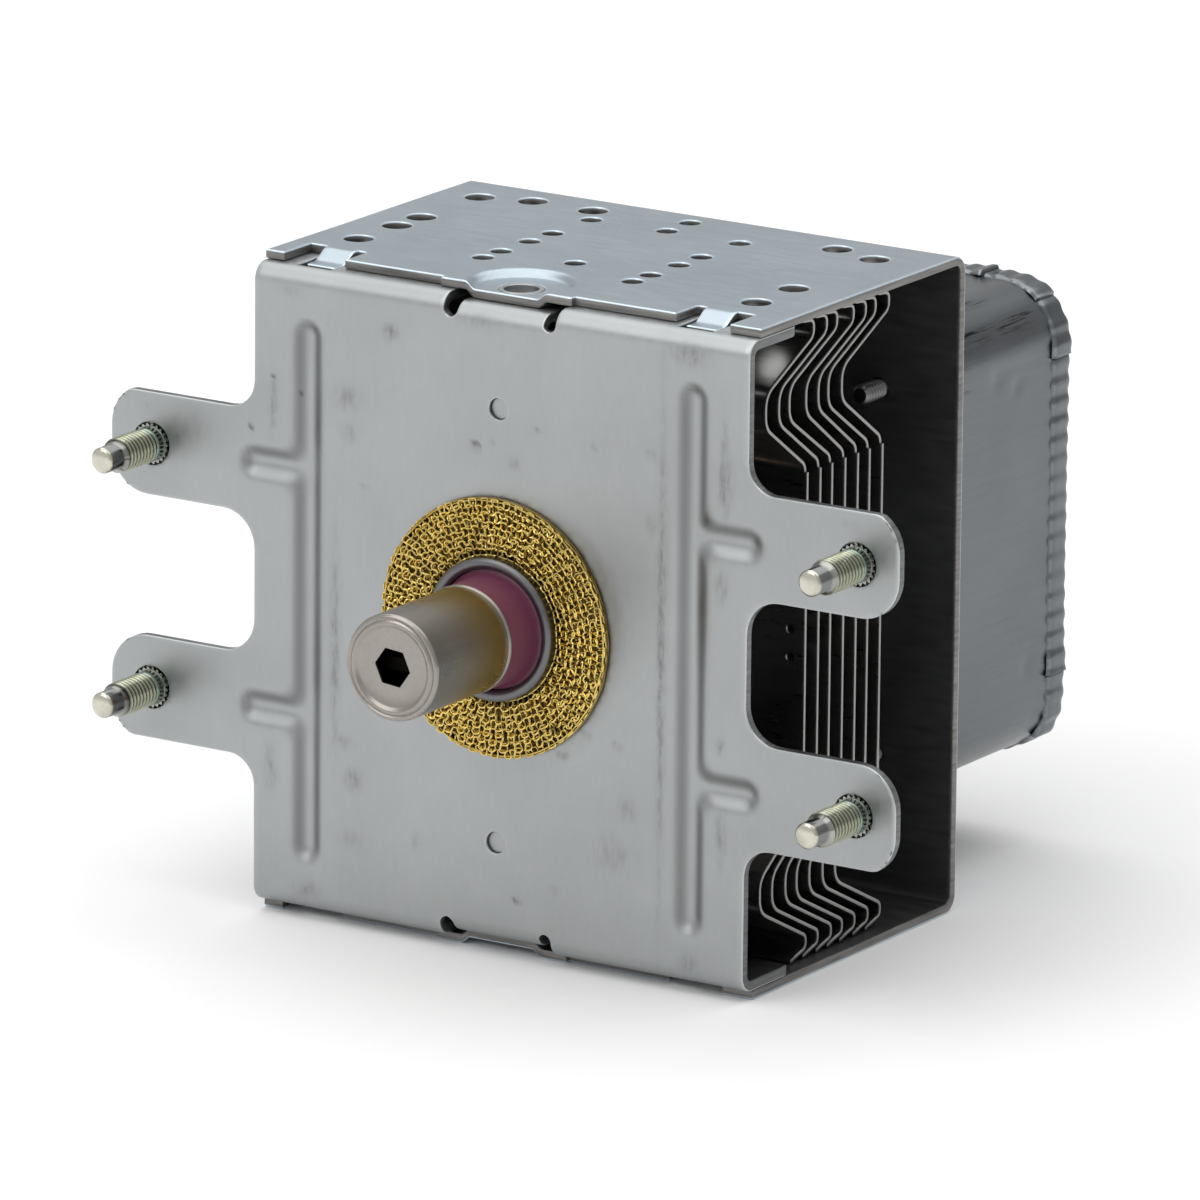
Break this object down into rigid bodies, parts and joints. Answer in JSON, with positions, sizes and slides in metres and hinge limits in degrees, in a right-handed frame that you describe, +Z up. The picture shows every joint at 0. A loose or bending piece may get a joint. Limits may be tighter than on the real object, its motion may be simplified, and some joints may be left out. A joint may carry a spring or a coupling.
{
  "type": "magnetron",
  "caption": "Magnetron tube in a folded steel yoke with aluminium cooling fins, a capped antenna in a knitted brass gasket, stud ears and a crimped filter box behind.",
  "frame": {"origin": "on the tube's axis at the front face of the front plate, in the middle of the four studs", "axes": "+X across to the right, +Y back along the tube's axis from the antenna to the filter box, +Z up"},
  "size_m": [0.1306, 0.1244, 0.0956],
  "materials": {
    "yoke_steel": "galvanised sheet with fine rolling lines",
    "plate_steel": "matt zinc plated sheet with smudges and scratches",
    "stud_zinc": "yellow passivated zinc on turned steel",
    "gasket_brass": "bright knitted brass wire",
    "ring_steel": "bright drawn steel",
    "cap_steel": "drawn stainless steel with a heat tint",
    "plum_ceramic": "plum coloured alumina",
    "copper": "bare copper",
    "seal_steel": "drawn steel",
    "pole_iron": "plain pressed iron",
    "tungsten": "dark tungsten and molybdenum",
    "stem_ceramic": "pale alumina",
    "terminal_tin": "tinned sheet",
    "ferrite": "sintered ferrite",
    "fin_aluminium": "bare rolled aluminium",
    "box_aluminium": "drawn aluminium with draw lines",
    "screw_steel": "plated steel",
    "capacitor_resin": "cast resin",
    "coil_enamel": "enamelled copper wire"
  },
  "bodies": {
    "root": {"yoke": "yoke_steel", "front_plate": "plate_steel", "mounting_studs": "stud_zinc", "rf_gasket": "gasket_brass", "gasket_ring": "ring_steel", "antenna_cap": "cap_steel", "cap_collar": "ring_steel", "output_ceramic": "plum_ceramic", "exhaust_tube": "copper", "antenna_lead": "copper", "output_seal": "seal_steel", "output_pole": "pole_iron", "anode_cylinder": "copper", "strap_front_inner": "copper", "strap_front_outer": "copper", "strap_rear_inner": "copper", "strap_rear_outer": "copper", "input_pole": "pole_iron", "input_seal": "seal_steel", "filament": "tungsten", "front_end_hat": "tungsten", "rear_end_hat": "tungsten", "centre_lead": "tungsten", "side_lead": "tungsten", "cathode_stem": "stem_ceramic", "centre_strip": "terminal_tin", "side_strip": "terminal_tin", "front_magnet": "ferrite", "rear_magnet": "ferrite", "filter_box": "box_aluminium", "filter_lid": "box_aluminium", "case_screws": "screw_steel", "capacitor_body": "capacitor_resin", "capacitor_plate": "terminal_tin", "capacitor_rivets": "screw_steel", "anode_vane_1": "copper", "anode_vane_2": "copper", "anode_vane_3": "copper", "anode_vane_4": "copper", "anode_vane_5": "copper", "anode_vane_6": "copper", "anode_vane_7": "copper", "anode_vane_8": "copper", "anode_vane_9": "copper", "anode_vane_10": "copper", "cooling_fin_1": "fin_aluminium", "cooling_fin_2": "fin_aluminium", "cooling_fin_3": "fin_aluminium", "cooling_fin_4": "fin_aluminium", "cooling_fin_5": "fin_aluminium", "cooling_fin_6": "fin_aluminium", "cooling_fin_7": "fin_aluminium", "choke_coil_1": "coil_enamel", "choke_core_1": "ferrite", "tab_terminal_1": "terminal_tin", "choke_coil_2": "coil_enamel", "choke_core_2": "ferrite", "tab_terminal_2": "terminal_tin"}
  },
  "joints": []
}
